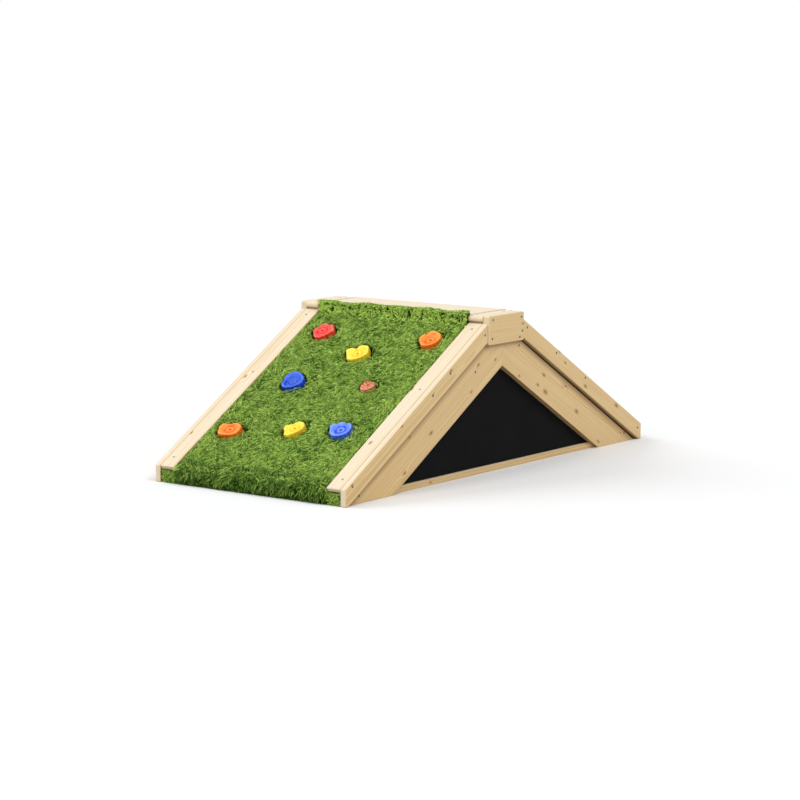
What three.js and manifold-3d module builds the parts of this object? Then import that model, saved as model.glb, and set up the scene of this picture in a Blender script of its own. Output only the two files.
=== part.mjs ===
// A low wooden climbing bridge for small children: two turfed ramps that meet at a narrow
// platform, eight bolted climbing holds on the front ramp and a blackboard in each gable.
// Millimetres, +Z up. X runs along the walk over the bridge, with the front ramp at -X.
// Y runs across it, with the left side at +Y. The origin is on the floor, in the middle.

import * as THREE from 'three';
import { mergeVertices } from 'three/addons/utils/BufferGeometryUtils.js';
import Module from 'manifold-3d';

// Overall sizes
const length = 2000; // from one ramp's foot to the other's
const width = 900; // over the outer faces of the rails
const slope = THREE.MathUtils.degToRad(30.3);
const railEndHeight = 64; // the upright end of a rail, at the ramp's foot

// Clearances
const seat = 0.3; // between pieces that lie on one another along a slope
const turfGrip = 1; // round a climbing hold pressed into the turf
const boreGap = 0.25; // round a bolt in its hole

// Outer rails, which hide the layers of the ramp from the side
const railThickness = 24;
const railDepth = 64; // measured square to the slope

// Cover strips, level with the rails' top edges
const stripWidth = 65;
const stripThickness = 18;

// Artificial turf: backing and pile together, and its folded edges
const turfThickness = 38;
const turfEdge = 4; // folded down between the deck's side and the rail
const turfFold = 32; // how far the folded edge hangs below the deck's top face
const noseRadius = 30; // where the turf bends down to the floor
const upstandPile = 18; // the turf turned up in front of the platform
const upstandRise = 9; // above the platform's top face

// Deck panels
const deckThickness = 12;
const deckEndGap = 5; // from a panel's upper end to where it would meet the plank

// Gable frames: face rafters with joists behind them
const rafterSetBack = 14; // from the rail's outer face
const rafterThickness = 28;
const rafterDrop = 8.5; // from the rail's lower edge to the rafter's upper edge
const rafterDepth = 136.5;
const joistThickness = 45;
const joistDepth = 90;
const footTrim = 40; // from the rail's end to the plumb cut on rafters, joists and deck

// Base rail and blackboard
const baseHeight = 24.5;
const baseThickness = 28;
const baseSetBack = 17; // from the rafter's outer face
const boardThickness = 8;
const boardLap = 29; // of the blackboard behind a rafter

// Platform: side caps, centre plank and cheek plates
const cheekHalf = 118;
const cheekHeight = 112;
const cheekThickness = 29;
const cheekProud = 5; // beyond the rails' outer faces
const cheekCorner = 7;
const capThickness = 27;
const capLift = 0.6; // from the rails' upper corner to the underside of the caps
const capNosing = 6; // beyond the cheek plates
const plankSetBack = 12; // of the plank's front edge behind the caps' noses
const plankOverhang = 6; // of its back edge beyond them
const bearerWidth = 54;

// Cross members under the deck
const crossThickness = 28;
const crossDepth = 70;
const crossAboveFoot = 160;
const crossBelowMiddle = 64;
const crossBelowCrest = 317;
const ridgeBeamWidth = 44;
const ridgeBeamDepth = 90;
const footBoardThickness = 28;

// Eased edges
const roundOver = 2.5; // boards that hands and feet touch
const arris = 1; // boards inside the frame

// Bolts and T-nuts that hold the climbing holds
const boltRadius = 3;
const boltHeadRadius = 5;
const boltHeadHeight = 6;
const boltTail = 6; // below the T-nut's flange
const nutFlangeRadius = 9.5;
const nutFlangeThickness = 1.5;
const nutBarrelRadius = 4.2;
const nutBarrelLength = 9;
const boltSides = 10;

// Climbing holds
const holdFootDepth = 28; // how far the turf is pressed down, from the strips' top faces
const holdSides = 32;
const recessRadius = 6.5; // round the bolt's head
const recessDepth = 14;
const recessRing = 13; // the raised ring round the recess
const ringRise = 2.2; // of that ring, from the dish's floor
const shoulderRound = 4.5; // of the rim, from the flat top to the side

// Derived places
const cos = Math.cos(slope);
const sin = Math.sin(slope);
const tan = Math.tan(slope);
const halfLength = length / 2;
const halfWidth = width / 2;
const railInner = halfWidth - railThickness;
const stripInner = railInner - stripWidth;
const deckTop = turfThickness;
const deckBottom = deckTop + deckThickness;
const deckHalfWidth = railInner - turfEdge - 2 * seat;
const footCut = halfLength - footTrim;
const rafterFace = halfWidth - rafterSetBack;
const rafterBack = rafterFace - rafterThickness;
const rafterTop = railDepth + rafterDrop;
const rafterBottom = rafterTop + rafterDepth;
const joistTop = deckBottom + seat;
const joistBottom = joistTop + joistDepth;
const joistInner = rafterBack - joistThickness;
const cheekFace = halfWidth + cheekProud;
const cheekBack = cheekFace - cheekThickness;
const capBottom = railTop(cheekHalf) + capLift;
const platformTop = capBottom + capThickness;
const cheekBottom = platformTop - cheekHeight;
const capHalf = cheekHalf + capNosing;
const plankFront = capHalf - plankSetBack;
const plankBack = capHalf + plankOverhang;
const plankUnderside = capBottom - seat;
const deckRidge = outAt(plankUnderside, deckTop) + deckEndGap;
const crease = plankFront + seat + upstandPile; // where the front turf is turned up

// Height of the rails' top edge at a distance out from the middle of the bridge
function railTop(out) {
  return railEndHeight + (halfLength - out) * tan;
}

// Height of a line that lies a given depth under the rails' top edge, square to the slope
function heightAt(out, depth) {
  return railTop(out) - depth / cos;
}

// How far out a line of that depth reaches a given height
function outAt(height, depth) {
  return halfLength - (height + depth / cos - railEndHeight) / tan;
}

// The point at a distance up the slope and a depth under the rails' top edge
function slopePoint(up, depth) {
  return new THREE.Vector2(
    halfLength - up * cos - depth * sin,
    railEndHeight + up * sin - depth * cos,
  );
}

const spruce = { color: 0xe3c797, roughness: 0.62, metalness: 0 };
const plywood = { color: 0xc9a877, roughness: 0.75, metalness: 0 };
const chalkboard = { color: 0x1b1b1c, roughness: 0.85, metalness: 0 };
const turf = { color: 0x6f9a3c, roughness: 0.9, metalness: 0 };
const zinc = { color: 0x9aa3ad, roughness: 0.35, metalness: 1 };
const moulded = (color) => ({ color, roughness: 0.42, metalness: 0 });

const wasm = await Module();
wasm.setup();

// Joins the faces of a surface along their edges, so that it is closed
function weld(geometry) {
  const bare = geometry.index ? geometry.toNonIndexed() : geometry;
  for (const name of Object.keys(bare.attributes)) {
    if (name !== 'position') bare.deleteAttribute(name);
  }
  const merged = mergeVertices(bare, 1e-4);
  const kept = [];
  for (let i = 0; i < merged.index.count; i += 3) {
    const [a, b, c] = [0, 1, 2].map((k) => merged.index.getX(i + k));
    if (a !== b && b !== c && c !== a) kept.push(a, b, c);
  }
  merged.setIndex(kept);
  return merged;
}

// A closed surface as a solid that can be joined and cut
function toSolid(geometry) {
  return new wasm.Manifold(new wasm.Mesh({
    numProp: 3,
    vertProperties: Float32Array.from(geometry.attributes.position.array),
    triVerts: Uint32Array.from(geometry.index.array),
  }));
}

function toGeometry(solid) {
  const { vertProperties, triVerts } = solid.getMesh();
  const geometry = new THREE.BufferGeometry();
  geometry.setAttribute('position', new THREE.BufferAttribute(vertProperties, 3));
  geometry.setIndex(new THREE.BufferAttribute(triVerts, 1));
  return geometry;
}

function join(geometries) {
  return toGeometry(geometries.map(toSolid).reduce((whole, next) => whole.add(next)));
}

function cut(mesh, tools) {
  const left = tools.map(toSolid).reduce((rest, tool) => rest.subtract(tool), toSolid(mesh.geometry));
  mesh.geometry = toGeometry(left);
}

const bridge = new THREE.Group();

function addPiece(name, geometry, look, parent = bridge) {
  const mesh = new THREE.Mesh(geometry, new THREE.MeshStandardMaterial(look));
  mesh.name = name;
  parent.add(mesh);
  return mesh;
}

// Keeps the part of a convex outline on the inner side of a line
function clip(outline, inside) {
  const kept = [];
  outline.forEach((point, i) => {
    const next = outline[(i + 1) % outline.length];
    const here = inside(point);
    const there = inside(next);
    if (here >= 0) kept.push(point);
    if (here * there < 0) kept.push(point.clone().lerp(next, here / (here - there)));
  });
  return kept;
}

// Side outline of a board that lies along the ramp between two depths, with plumb end cuts
// and level cuts at the floor and, if asked, at a ceiling
function slopeOutline(topDepth, bottomDepth, inner, outer, ceiling = Infinity) {
  const far = 2 * halfLength;
  const band = [
    new THREE.Vector2(-far, heightAt(-far, bottomDepth)),
    new THREE.Vector2(far, heightAt(far, bottomDepth)),
    new THREE.Vector2(far, heightAt(far, topDepth)),
    new THREE.Vector2(-far, heightAt(-far, topDepth)),
  ];
  const cuts = [
    (p) => p.x - inner,
    (p) => outer - p.x,
    (p) => p.y,
    (p) => (ceiling === Infinity ? 1 : ceiling - p.y),
  ];
  return cuts.reduce(clip, band);
}

// Takes the sharp corners off an outline. The cut lies further back on a sharper corner, so
// that its face is still there once the board's edges are eased as well.
function easeCorners(outline, ease) {
  return outline.flatMap((point, i) => {
    const before = outline[(i + outline.length - 1) % outline.length].clone().sub(point);
    const after = outline[(i + 1) % outline.length].clone().sub(point);
    const corner = Math.abs(before.angleTo(after));
    const halfFace = 0.4 * ease;
    const reach = (halfFace + ease * Math.tan((Math.PI - corner) / 4)) / Math.sin(corner / 2);
    return [before, after].map((edge) => point.clone().add(edge.setLength(reach)));
  });
}

// A board cut to a side outline, between two planes across the bridge, with eased edges.
// The outline is given for the back half of the bridge; the front half mirrors it.
function board(outline, yLow, yHigh, front, ease) {
  const points = outline.map((p) => new THREE.Vector2(front ? -p.x : p.x, p.y));
  const geometry = new THREE.ExtrudeGeometry(new THREE.Shape(points), {
    depth: yHigh - yLow - 2 * ease,
    bevelEnabled: ease > 0,
    bevelThickness: ease,
    bevelSize: ease,
    bevelOffset: -ease,
    bevelSegments: 1,
    curveSegments: 6,
  });
  geometry.translate(0, 0, ease);
  geometry.rotateX(Math.PI / 2);
  geometry.translate(0, yHigh, 0);
  return weld(geometry);
}

// A level board's side outline, between two distances along the bridge
function block(half, low, high, front = half) {
  return [[-front, low], [half, low], [half, high], [-front, high]].map(
    ([x, z]) => new THREE.Vector2(x, z),
  );
}

// The four corners of the bridge: each ramp, each side
const ramps = [{ end: 'front', front: true }, { end: 'back', front: false }];
const sides = [{ side: 'left', sign: 1 }, { side: 'right', sign: -1 }];

// Adds one board on each side of the bridge, between two distances out from the middle
function sidePair(name, outline, inner, outer, front, ease, look) {
  const pair = {};
  for (const { side, sign } of sides) {
    const [yLow, yHigh] = sign > 0 ? [inner, outer] : [-outer, -inner];
    pair[side] = addPiece(`${name}_${side}`, board(outline, yLow, yHigh, front, ease), look);
  }
  return pair;
}

function acrossPiece(name, outline, halfSpan, front, ease, look) {
  return addPiece(name, board(outline, -halfSpan, halfSpan, front, ease), look);
}

// Ramp: rails and cover strips along each side, deck and turf between them
const railOutline = easeCorners(
  slopeOutline(0, railDepth, cheekHalf + seat, halfLength),
  roundOver,
);
const stripOutline = easeCorners(
  clip(
    slopeOutline(0, stripThickness, cheekHalf + seat, halfLength),
    (p) => (halfLength - p.x) * cos - (railEndHeight - p.y) * sin,
  ),
  roundOver,
);
const deckOutline = slopeOutline(deckTop, deckBottom, deckRidge, footCut);

// Turf in the open field between the strips. It bends down to the floor at the ramp's foot.
// In front of the platform it is turned up, and behind it is tucked under the plank.
function fieldOutline(front) {
  const start = plankFront + seat;
  const nosePull = noseRadius * Math.tan((Math.PI / 2 - slope) / 2);
  const bend = slopePoint(nosePull, 0);
  const shape = new THREE.Shape();
  shape.moveTo(footCut + seat, 0);
  shape.lineTo(halfLength, 0);
  shape.lineTo(halfLength, railEndHeight - nosePull);
  shape.quadraticCurveTo(halfLength, railEndHeight, bend.x, bend.y);
  if (front) {
    shape.lineTo(crease, railTop(crease));
    shape.lineTo(crease, platformTop + upstandRise);
    shape.lineTo(start, platformTop + upstandRise);
  } else {
    shape.lineTo(outAt(plankUnderside, 0), plankUnderside);
    shape.lineTo(start, plankUnderside);
  }
  shape.lineTo(start, heightAt(start, deckTop - seat));
  shape.lineTo(footCut + seat, heightAt(footCut + seat, deckTop - seat));
  return shape.getPoints(5);
}

// Turf under the strips, pressed down to their undersides
function pressedOutline() {
  const inner = cheekHalf + 2 * seat;
  const top = stripThickness + seat;
  const bottom = deckTop - seat;
  return [
    [footCut + seat, 0],
    [halfLength, 0],
    [halfLength, heightAt(halfLength, top)],
    [inner, heightAt(inner, top)],
    [inner, heightAt(inner, bottom)],
    [footCut + seat, heightAt(footCut + seat, bottom)],
  ].map(([x, z]) => new THREE.Vector2(x, z));
}

function turfGeometry(front) {
  const field = stripInner - seat;
  const edge = railInner - seat;
  const fold = slopeOutline(stripThickness + seat, deckTop + turfFold, cheekHalf + 2 * seat, footCut);
  return join([
    board(fieldOutline(front), -field, field, front, 0),
    board(pressedOutline(), -edge, edge, front, 0),
    board(fold, edge - turfEdge, edge, front, 0),
    board(fold, -edge, turfEdge - edge, front, 0),
  ]);
}

const decks = {};
const turfs = {};
for (const { end, front } of ramps) {
  sidePair(`rail_${end}`, railOutline, railInner, halfWidth, front, roundOver, spruce);
  sidePair(`cover_strip_${end}`, stripOutline, stripInner, railInner, front, roundOver, spruce);
  decks[end] = acrossPiece(`deck_panel_${end}`, deckOutline, deckHalfWidth, front, 0, plywood);
  turfs[end] = addPiece(`turf_${end}`, turfGeometry(front), turf);
}

// Gables: face rafters mitred on the centre line, joists behind them, base rail, blackboard
const mitre = seat / 2;
const rafterOutline = easeCorners(
  slopeOutline(rafterTop, rafterBottom, mitre, footCut),
  arris,
);
const joistOutline = slopeOutline(joistTop, joistBottom, mitre, footCut, plankUnderside);

// The housing in the rafters' upper ends, which takes the lower half of a cheek plate
function cheekHousing() {
  const outline = block(cheekHalf + seat, cheekBottom - seat, platformTop);
  return [board(outline, cheekBack - seat, cheekFace, false, 0),
    board(outline, -cheekFace, seat - cheekBack, false, 0)];
}

for (const { end, front } of ramps) {
  const pair = sidePair(`rafter_${end}`, rafterOutline, rafterBack, rafterFace, front, arris, spruce);
  for (const rafter of Object.values(pair)) cut(rafter, cheekHousing());
  sidePair(`joist_${end}`, joistOutline, joistInner, rafterBack, front, arris, spruce);
}

// A symmetrical outline under both slopes, between two heights and below a depth
function gableOutline(depth, low, high) {
  const outline = [[-outAt(low, depth), low], [outAt(low, depth), low]];
  if (high > heightAt(0, depth)) outline.push([0, heightAt(0, depth)]);
  else outline.push([outAt(high, depth), high], [-outAt(high, depth), high]);
  return outline.map(([x, z]) => new THREE.Vector2(x, z));
}

const baseFace = rafterFace - baseSetBack;
sidePair(
  'base_rail', gableOutline(rafterBottom + seat, 0, baseHeight),
  baseFace - baseThickness, baseFace, false, arris, spruce,
);
sidePair(
  'blackboard', gableOutline(rafterBottom - boardLap, baseHeight + seat, Infinity),
  rafterBack - boardThickness, rafterBack, false, 0, chalkboard,
);

// Cross members between the two gables. Places up the slope are counted from the rail's end.
const crest = (halfLength - crease) / cos;
const middle = crest / 2;
const crossPlaces = [crossAboveFoot, middle - crossBelowMiddle, crest - crossBelowCrest];
for (const { end, front } of ramps) {
  crossPlaces.forEach((place, i) => {
    const outline = [
      slopePoint(place, joistTop),
      slopePoint(place + crossThickness, joistTop),
      slopePoint(place + crossThickness, joistTop + crossDepth),
      slopePoint(place, joistTop + crossDepth),
    ];
    acrossPiece(`cross_batten_${end}_${i + 1}`, outline, joistInner, front, arris, spruce);
  });
  const foot = [
    [footCut - footBoardThickness, 0],
    [footCut, 0],
    [footCut, heightAt(footCut, joistTop)],
    [footCut - footBoardThickness, heightAt(footCut - footBoardThickness, joistTop)],
  ].map(([x, z]) => new THREE.Vector2(x, z));
  acrossPiece(`foot_board_${end}`, foot, joistInner, front, arris, spruce);
}

acrossPiece(
  'ridge_beam',
  block(ridgeBeamWidth / 2, plankUnderside - ridgeBeamDepth, plankUnderside),
  joistInner, false, arris, spruce,
);

// Platform: bearers on the decks, two side caps with round noses, a centre plank
const bearerInner = plankFront - bearerWidth;
for (const { end, front } of ramps) {
  const outline = [
    [bearerInner, heightAt(bearerInner, deckTop - seat)],
    [plankFront, heightAt(plankFront, deckTop - seat)],
    [plankFront, plankUnderside],
    [bearerInner, plankUnderside],
  ].map(([x, z]) => new THREE.Vector2(x, z));
  acrossPiece(`bearer_${end}`, outline, cheekBack, front, arris, spruce);
}

function capOutline() {
  const radius = capThickness / 2;
  const middle = capBottom + radius;
  const shape = new THREE.Shape();
  shape.moveTo(radius - capHalf, capBottom);
  shape.lineTo(capHalf - radius, capBottom);
  shape.absarc(capHalf - radius, middle, radius, -Math.PI / 2, Math.PI / 2, false);
  shape.absarc(radius - capHalf, middle, radius, Math.PI / 2, 1.5 * Math.PI, false);
  return shape.getPoints(5);
}

sidePair('platform_cap', capOutline(), stripInner, cheekBack, false, arris, spruce);
acrossPiece(
  'platform_plank',
  easeCorners(block(plankBack, capBottom, platformTop, plankFront), arris),
  stripInner - seat, false, arris, spruce,
);

function cheekOutline() {
  const low = cheekBottom;
  const shape = new THREE.Shape();
  const turn = Math.PI / 2;
  const corners = [
    [cheekHalf - cheekCorner, low + cheekCorner, -turn],
    [cheekHalf - cheekCorner, platformTop - cheekCorner, 0],
    [cheekCorner - cheekHalf, platformTop - cheekCorner, turn],
    [cheekCorner - cheekHalf, low + cheekCorner, 2 * turn],
  ];
  corners.forEach(([x, z, start], i) => {
    if (i === 0) shape.moveTo(x, z - cheekCorner);
    shape.absarc(x, z, cheekCorner, start, start + turn, false);
  });
  return shape.getPoints(2);
}

sidePair('cheek_plate', cheekOutline(), cheekBack, cheekFace, false, roundOver, spruce);

// Climbing holds: moulded, flat on top, with a knobbly rim, a dish and a sunk bolt. A hold's
// bolt lies above or below one of three lines across the ramp, and beside one of three lines
// along it. The outline goes round the bolt from the right-hand side, over the top and the
// left, in degrees and distances; rise is the height of its face above the cover strips.
const rows = { foot: 0, middle, crest };
const columns = { left: stripInner, centre: 0, right: -stripInner };
const holds = [
  {
    name: 'red_flower', color: 0xe4392b, row: 'crest', up: -124, column: 'left', across: -109,
    rise: 7, dish: 5, outline: [
      [8, 54], [38, 47], [60, 50], [75, 38], [92, 44], [112, 51], [133, 43], [150, 35],
      [166, 42], [182, 43], [222, 38], [258, 46], [285, 48], [318, 43], [344, 45],
    ],
  },
  {
    name: 'yellow_bean', color: 0xf6d61f, row: 'crest', up: -242, column: 'centre', across: 2,
    rise: 6, dish: 5, outline: [
      [15, 45], [40, 45], [60, 52], [78, 54], [110, 51], [128, 38], [150, 56], [168, 63],
      [187, 51], [208, 45], [236, 47], [263, 43], [310, 35], [350, 40],
    ],
  },
  {
    name: 'orange_block', color: 0xf47b1d, row: 'crest', up: -124, column: 'right', across: 92,
    rise: 9, dish: 5, outline: [
      [3, 36], [28, 42], [58, 47], [88, 54], [112, 62], [128, 60], [140, 50], [152, 60],
      [172, 57], [205, 44], [238, 42], [265, 38], [318, 34],
    ],
  },
  {
    name: 'blue_dish', color: 0x1f58cc, row: 'middle', up: 57, column: 'left', across: -185,
    rise: 8, dish: 8, outline: [
      [0, 46], [30, 46], [60, 46], [90, 54], [118, 64], [140, 59], [160, 54], [185, 44],
      [212, 47], [240, 48], [270, 43], [310, 40], [345, 46],
    ],
  },
  {
    name: 'coral_shell', color: 0xe2735a, row: 'middle', up: 82, column: 'right', across: 195,
    rise: 4, dish: 2.5, outline: [
      [0, 29], [45, 26], [80, 24], [112, 23], [126, 30], [136, 42], [147, 32], [165, 30],
      [195, 31], [235, 34], [270, 32], [315, 28],
    ],
  },
  {
    name: 'orange_wave', color: 0xf47b1d, row: 'foot', up: 243, column: 'left', across: -101,
    rise: 6, dish: 5, outline: [
      [0, 45], [30, 46], [60, 44], [90, 42], [115, 36], [135, 43], [152, 60], [168, 61],
      [185, 53], [215, 50], [245, 40], [275, 33], [310, 39], [335, 45],
    ],
  },
  {
    name: 'yellow_heart', color: 0xf6d61f, row: 'foot', up: 293, column: 'centre', across: -17,
    rise: 6, dish: 5, outline: [
      [0, 33], [30, 38], [60, 42], [90, 42], [115, 38], [135, 34], [152, 39], [172, 50],
      [192, 48], [212, 41], [240, 48], [262, 47], [290, 34], [325, 28],
    ],
  },
  {
    name: 'blue_crown', color: 0x2c62d6, row: 'foot', up: 314, column: 'right', across: 141,
    rise: 7, dish: 5, outline: [
      [0, 39], [30, 43], [60, 46], [75, 45], [90, 40], [105, 45], [122, 51], [138, 49],
      [152, 62], [167, 61], [185, 50], [215, 45], [250, 42], [290, 36], [330, 39],
    ],
  },
];

// Places on the front ramp: X up the slope, Y across, Z square to it, from the rails' tops
const frontRamp = new THREE.Group();
frontRamp.position.set(-halfLength, 0, railEndHeight);
frontRamp.rotation.y = -slope;
bridge.add(frontRamp);

// The rim of a hold as a smooth closed curve, enlarged by a margin all round
function holdRim(outline, margin = 0) {
  const knuckles = outline.map(([degrees, distance]) => {
    const angle = THREE.MathUtils.degToRad(degrees);
    const reach = distance + margin;
    return new THREE.Vector3(reach * Math.sin(angle), -reach * Math.cos(angle), 0);
  });
  return new THREE.CatmullRomCurve3(knuckles, true).getSpacedPoints(holdSides).slice(0, -1);
}

// A closed surface through loops of points, where the last loop joins on to the first
function loopedSurface(loops) {
  const count = loops[0].length;
  const faces = [];
  loops.forEach((loop, i) => {
    const next = (i + 1) % loops.length;
    loop.forEach((point, j) => {
      const [a, b] = [i * count + j, i * count + ((j + 1) % count)];
      const [c, d] = [next * count + j, next * count + ((j + 1) % count)];
      faces.push(a, b, d, a, d, c);
    });
  });
  return new THREE.BufferGeometry().setFromPoints(loops.flat()).setIndex(faces);
}

// The loops go from the foot's bore out, up the side, over the rim, down into the dish, over
// the ring round the bolt's recess, and down to the recess's floor and bore
function holdGeometry({ outline, rise, dish }) {
  const top = holdFootDepth + rise;
  const rim = holdRim(outline);
  const inset = (distance, z) => rim.map((p) => p.clone().setLength(p.length() - distance).setZ(z));
  const inward = (share, z) => rim.map((p) => p.clone().multiplyScalar(share).setZ(z));
  const round = (radius, z) => rim.map((p) => p.clone().setLength(radius).setZ(z));
  const ring = Math.min(recessRing, 0.44 * Math.min(...outline.map(([, distance]) => distance)));
  return loopedSurface([
    round(boltRadius + boreGap, 0),
    inset(0.7 * shoulderRound, 0),
    inset(0, top - 1.2 * shoulderRound),
    inset(0.1 * shoulderRound, top - 0.6 * shoulderRound),
    inset(0.4 * shoulderRound, top - 0.15 * shoulderRound),
    inset(shoulderRound, top),
    inward(0.66, top - 0.7 * dish),
    inward(0.56, top - dish),
    round(ring + ringRise, top - dish),
    round(ring, top - dish + ringRise),
    round(recessRadius + 1, top - dish + 0.7 * ringRise),
    round(recessRadius, top - recessDepth),
    round(boltRadius + boreGap, top - recessDepth),
  ]);
}

// The space that a hold takes in the turf, from its foot up
function holdPocket({ outline }) {
  const shape = new THREE.Shape(holdRim(outline, turfGrip).map((p) => new THREE.Vector2(p.x, p.y)));
  return weld(new THREE.ExtrudeGeometry(shape, { depth: 2 * holdFootDepth, bevelEnabled: false }));
}

// A round solid turned about its own Z axis from a half profile
function turned(profile, segments) {
  const points = profile.map(([radius, z]) => new THREE.Vector2(radius, z));
  const geometry = weld(new THREE.LatheGeometry(points, segments));
  geometry.rotateX(Math.PI / 2);
  return geometry;
}

// The bolt of a hold, down through the deck, with the T-nut that it has drawn up
function boltGeometry({ rise }) {
  const under = holdFootDepth + rise - recessDepth + seat;
  const flangeTop = holdFootDepth - deckBottom - seat;
  const flangeBottom = flangeTop - nutFlangeThickness;
  const tip = flangeBottom - boltTail;
  return turned([
    [0, tip],
    [boltRadius, tip],
    [boltRadius, flangeBottom],
    [nutFlangeRadius, flangeBottom],
    [nutFlangeRadius, flangeTop],
    [nutBarrelRadius, flangeTop],
    [nutBarrelRadius, flangeTop + nutBarrelLength],
    [boltRadius, flangeTop + nutBarrelLength],
    [boltRadius, under],
    [boltHeadRadius, under],
    [boltHeadRadius, under + 0.6 * boltHeadHeight],
    [0.6 * boltHeadRadius, under + boltHeadHeight],
    [0, under + boltHeadHeight],
  ], boltSides);
}

function rod(radius, low, high) {
  return turned([[0, low], [radius, low], [radius, high], [0, high]], boltSides);
}

const turfCuts = [];
const deckCuts = [];
for (const hold of holds) {
  const place = new THREE.Group();
  place.position.set(rows[hold.row] + hold.up, columns[hold.column] + hold.across, -holdFootDepth);
  frontRamp.add(place);
  addPiece(`hold_${hold.name}`, holdGeometry(hold), moulded(hold.color), place);
  addPiece(`bolt_${hold.name}`, boltGeometry(hold), zinc, place);
  place.updateWorldMatrix(true, false);
  const drill = rod(nutBarrelRadius + boreGap, holdFootDepth - deckBottom - 1, seat);
  drill.applyMatrix4(place.matrixWorld);
  const pocket = holdPocket(hold).translate(0, 0, -seat).applyMatrix4(place.matrixWorld);
  turfCuts.push(pocket, drill);
  deckCuts.push(drill);
}
cut(turfs.front, turfCuts);
cut(decks.front, deckCuts);

export default bridge;
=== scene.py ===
import math

import bmesh
import bpy
import numpy as np
from mathutils import Euler, Matrix, Vector


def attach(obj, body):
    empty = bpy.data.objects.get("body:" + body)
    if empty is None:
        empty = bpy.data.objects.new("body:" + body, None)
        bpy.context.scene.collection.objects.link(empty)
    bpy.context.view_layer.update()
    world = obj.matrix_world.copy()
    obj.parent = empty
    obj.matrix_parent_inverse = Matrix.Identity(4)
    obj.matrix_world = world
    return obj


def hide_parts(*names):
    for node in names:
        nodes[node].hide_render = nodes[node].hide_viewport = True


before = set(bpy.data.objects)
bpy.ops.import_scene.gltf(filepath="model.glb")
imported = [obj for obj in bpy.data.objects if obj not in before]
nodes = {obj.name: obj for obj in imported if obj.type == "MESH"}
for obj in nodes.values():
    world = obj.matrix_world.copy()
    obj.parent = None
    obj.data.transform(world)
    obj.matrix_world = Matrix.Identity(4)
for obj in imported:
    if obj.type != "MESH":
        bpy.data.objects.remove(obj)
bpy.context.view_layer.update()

# The view: a long lens, far off and a little above the bridge, which looks at the corner
# between the ramp with the holds and the right-hand gable.
camera_place = Vector((-8.5524, -6.2782, 1.7649))
camera_turn = math.radians(53.497)
camera_dip = math.radians(8.210)
camera_roll = math.radians(0.212)
camera = bpy.data.objects.new("camera", bpy.data.cameras.new("camera"))
camera.data.lens = 122.648
camera.data.sensor_width = 36
camera.data.clip_end = 100
camera_aim = Euler((math.pi / 2 - camera_dip, 0, -camera_turn)).to_matrix()
camera.matrix_world = Matrix.Translation(camera_place) @ (
    camera_aim @ Matrix.Rotation(camera_roll, 3, "Z")
).to_4x4()
bpy.context.scene.collection.objects.link(camera)
bpy.context.scene.camera = camera
bpy.context.scene.view_settings.view_transform = "Standard"


# The studio: a white paper floor that runs out of sight, a soft white room all round, and three
# broad distant lamps. They leave a soft shadow round the foot of the bridge.
def set_down(name, mesh):
    """A new piece of the scene, made of a mesh."""
    piece = bpy.data.objects.new(name, mesh)
    bpy.context.scene.collection.objects.link(piece)
    return piece


def new_finish(name):
    """A new material and the tree of its nodes."""
    material = bpy.data.materials.new(name)
    material.use_nodes = True
    return material, material.node_tree


def coat(tree, colour, roughness, gloss=0.5, metal=0):
    """Gives a finish its colour, from a socket, and its roughness, gloss and metal."""
    surface = tree.nodes["Principled BSDF"]
    tree.links.new(colour, surface.inputs["Base Color"])
    surface.inputs["Roughness"].default_value = roughness
    surface.inputs["Specular IOR Level"].default_value = gloss
    surface.inputs["Metallic"].default_value = metal


def feed(tree, value, socket):
    """Sets a socket to a plain number or colour, or links it to another socket."""
    if isinstance(value, bpy.types.NodeSocket):
        tree.links.new(value, socket)
    else:
        socket.default_value = value


def reckon(tree, operation, *values, held=False):
    """A sum on sockets or plain numbers; where it is held, it stays between 0 and 1."""
    made = tree.nodes.new("ShaderNodeMath")
    made.operation = operation
    made.use_clamp = held
    for value, socket in zip(values, made.inputs):
        feed(tree, value, socket)
    return made.outputs[0]


def blend_colours(tree, share, first, second):
    """The first colour, with that share of the second in it."""
    made = tree.nodes.new("ShaderNodeMix")
    made.data_type = "RGBA"
    for value, number in ((share, 0), (first, 6), (second, 7)):
        feed(tree, value, made.inputs[number])
    return made.outputs[2]


def seen_directly(tree):
    """1 in what the camera or a gloss shows, and 0 in what lights the bridge."""
    path = tree.nodes.new("ShaderNodeLightPath")
    return reckon(tree, "MAXIMUM", path.outputs["Is Camera Ray"], path.outputs["Is Glossy Ray"])


paper_reach = 20
paper_as_lit = (0.6, 0.6, 0.6, 1)
paper_as_seen = (0.94, 0.945, 0.952, 1)
paper, paper_tree = new_finish("floor_paper")
coat(paper_tree, blend_colours(paper_tree, seen_directly(paper_tree), paper_as_lit, paper_as_seen),
     roughness=1, gloss=0)
floor_mesh = bpy.data.meshes.new("floor")
floor_mesh.from_pydata(
    [(x * paper_reach, y * paper_reach, 0) for x, y in ((-1, -1), (1, -1), (1, 1), (-1, 1))],
    [], [(0, 1, 2, 3)],
)
floor_mesh.materials.append(paper)
floor = set_down("floor", floor_mesh)

white = (1, 1, 1, 1)
room = bpy.data.worlds.new("room")
room.use_nodes = True
bpy.context.scene.world = room
room_tree = room.node_tree
soft_light = room_tree.nodes["Background"]
backdrop = room_tree.nodes.new("ShaderNodeBackground")
for glow, strength in ((soft_light, 0.47), (backdrop, 1)):
    glow.inputs["Color"].default_value = white
    glow.inputs["Strength"].default_value = strength
room_mix = room_tree.nodes.new("ShaderNodeMixShader")
for source, socket in zip((seen_directly(room_tree), soft_light.outputs[0], backdrop.outputs[0]),
                          room_mix.inputs):
    room_tree.links.new(source, socket)
room_tree.links.new(room_mix.outputs[0], room_tree.nodes["World Output"].inputs["Surface"])


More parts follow.
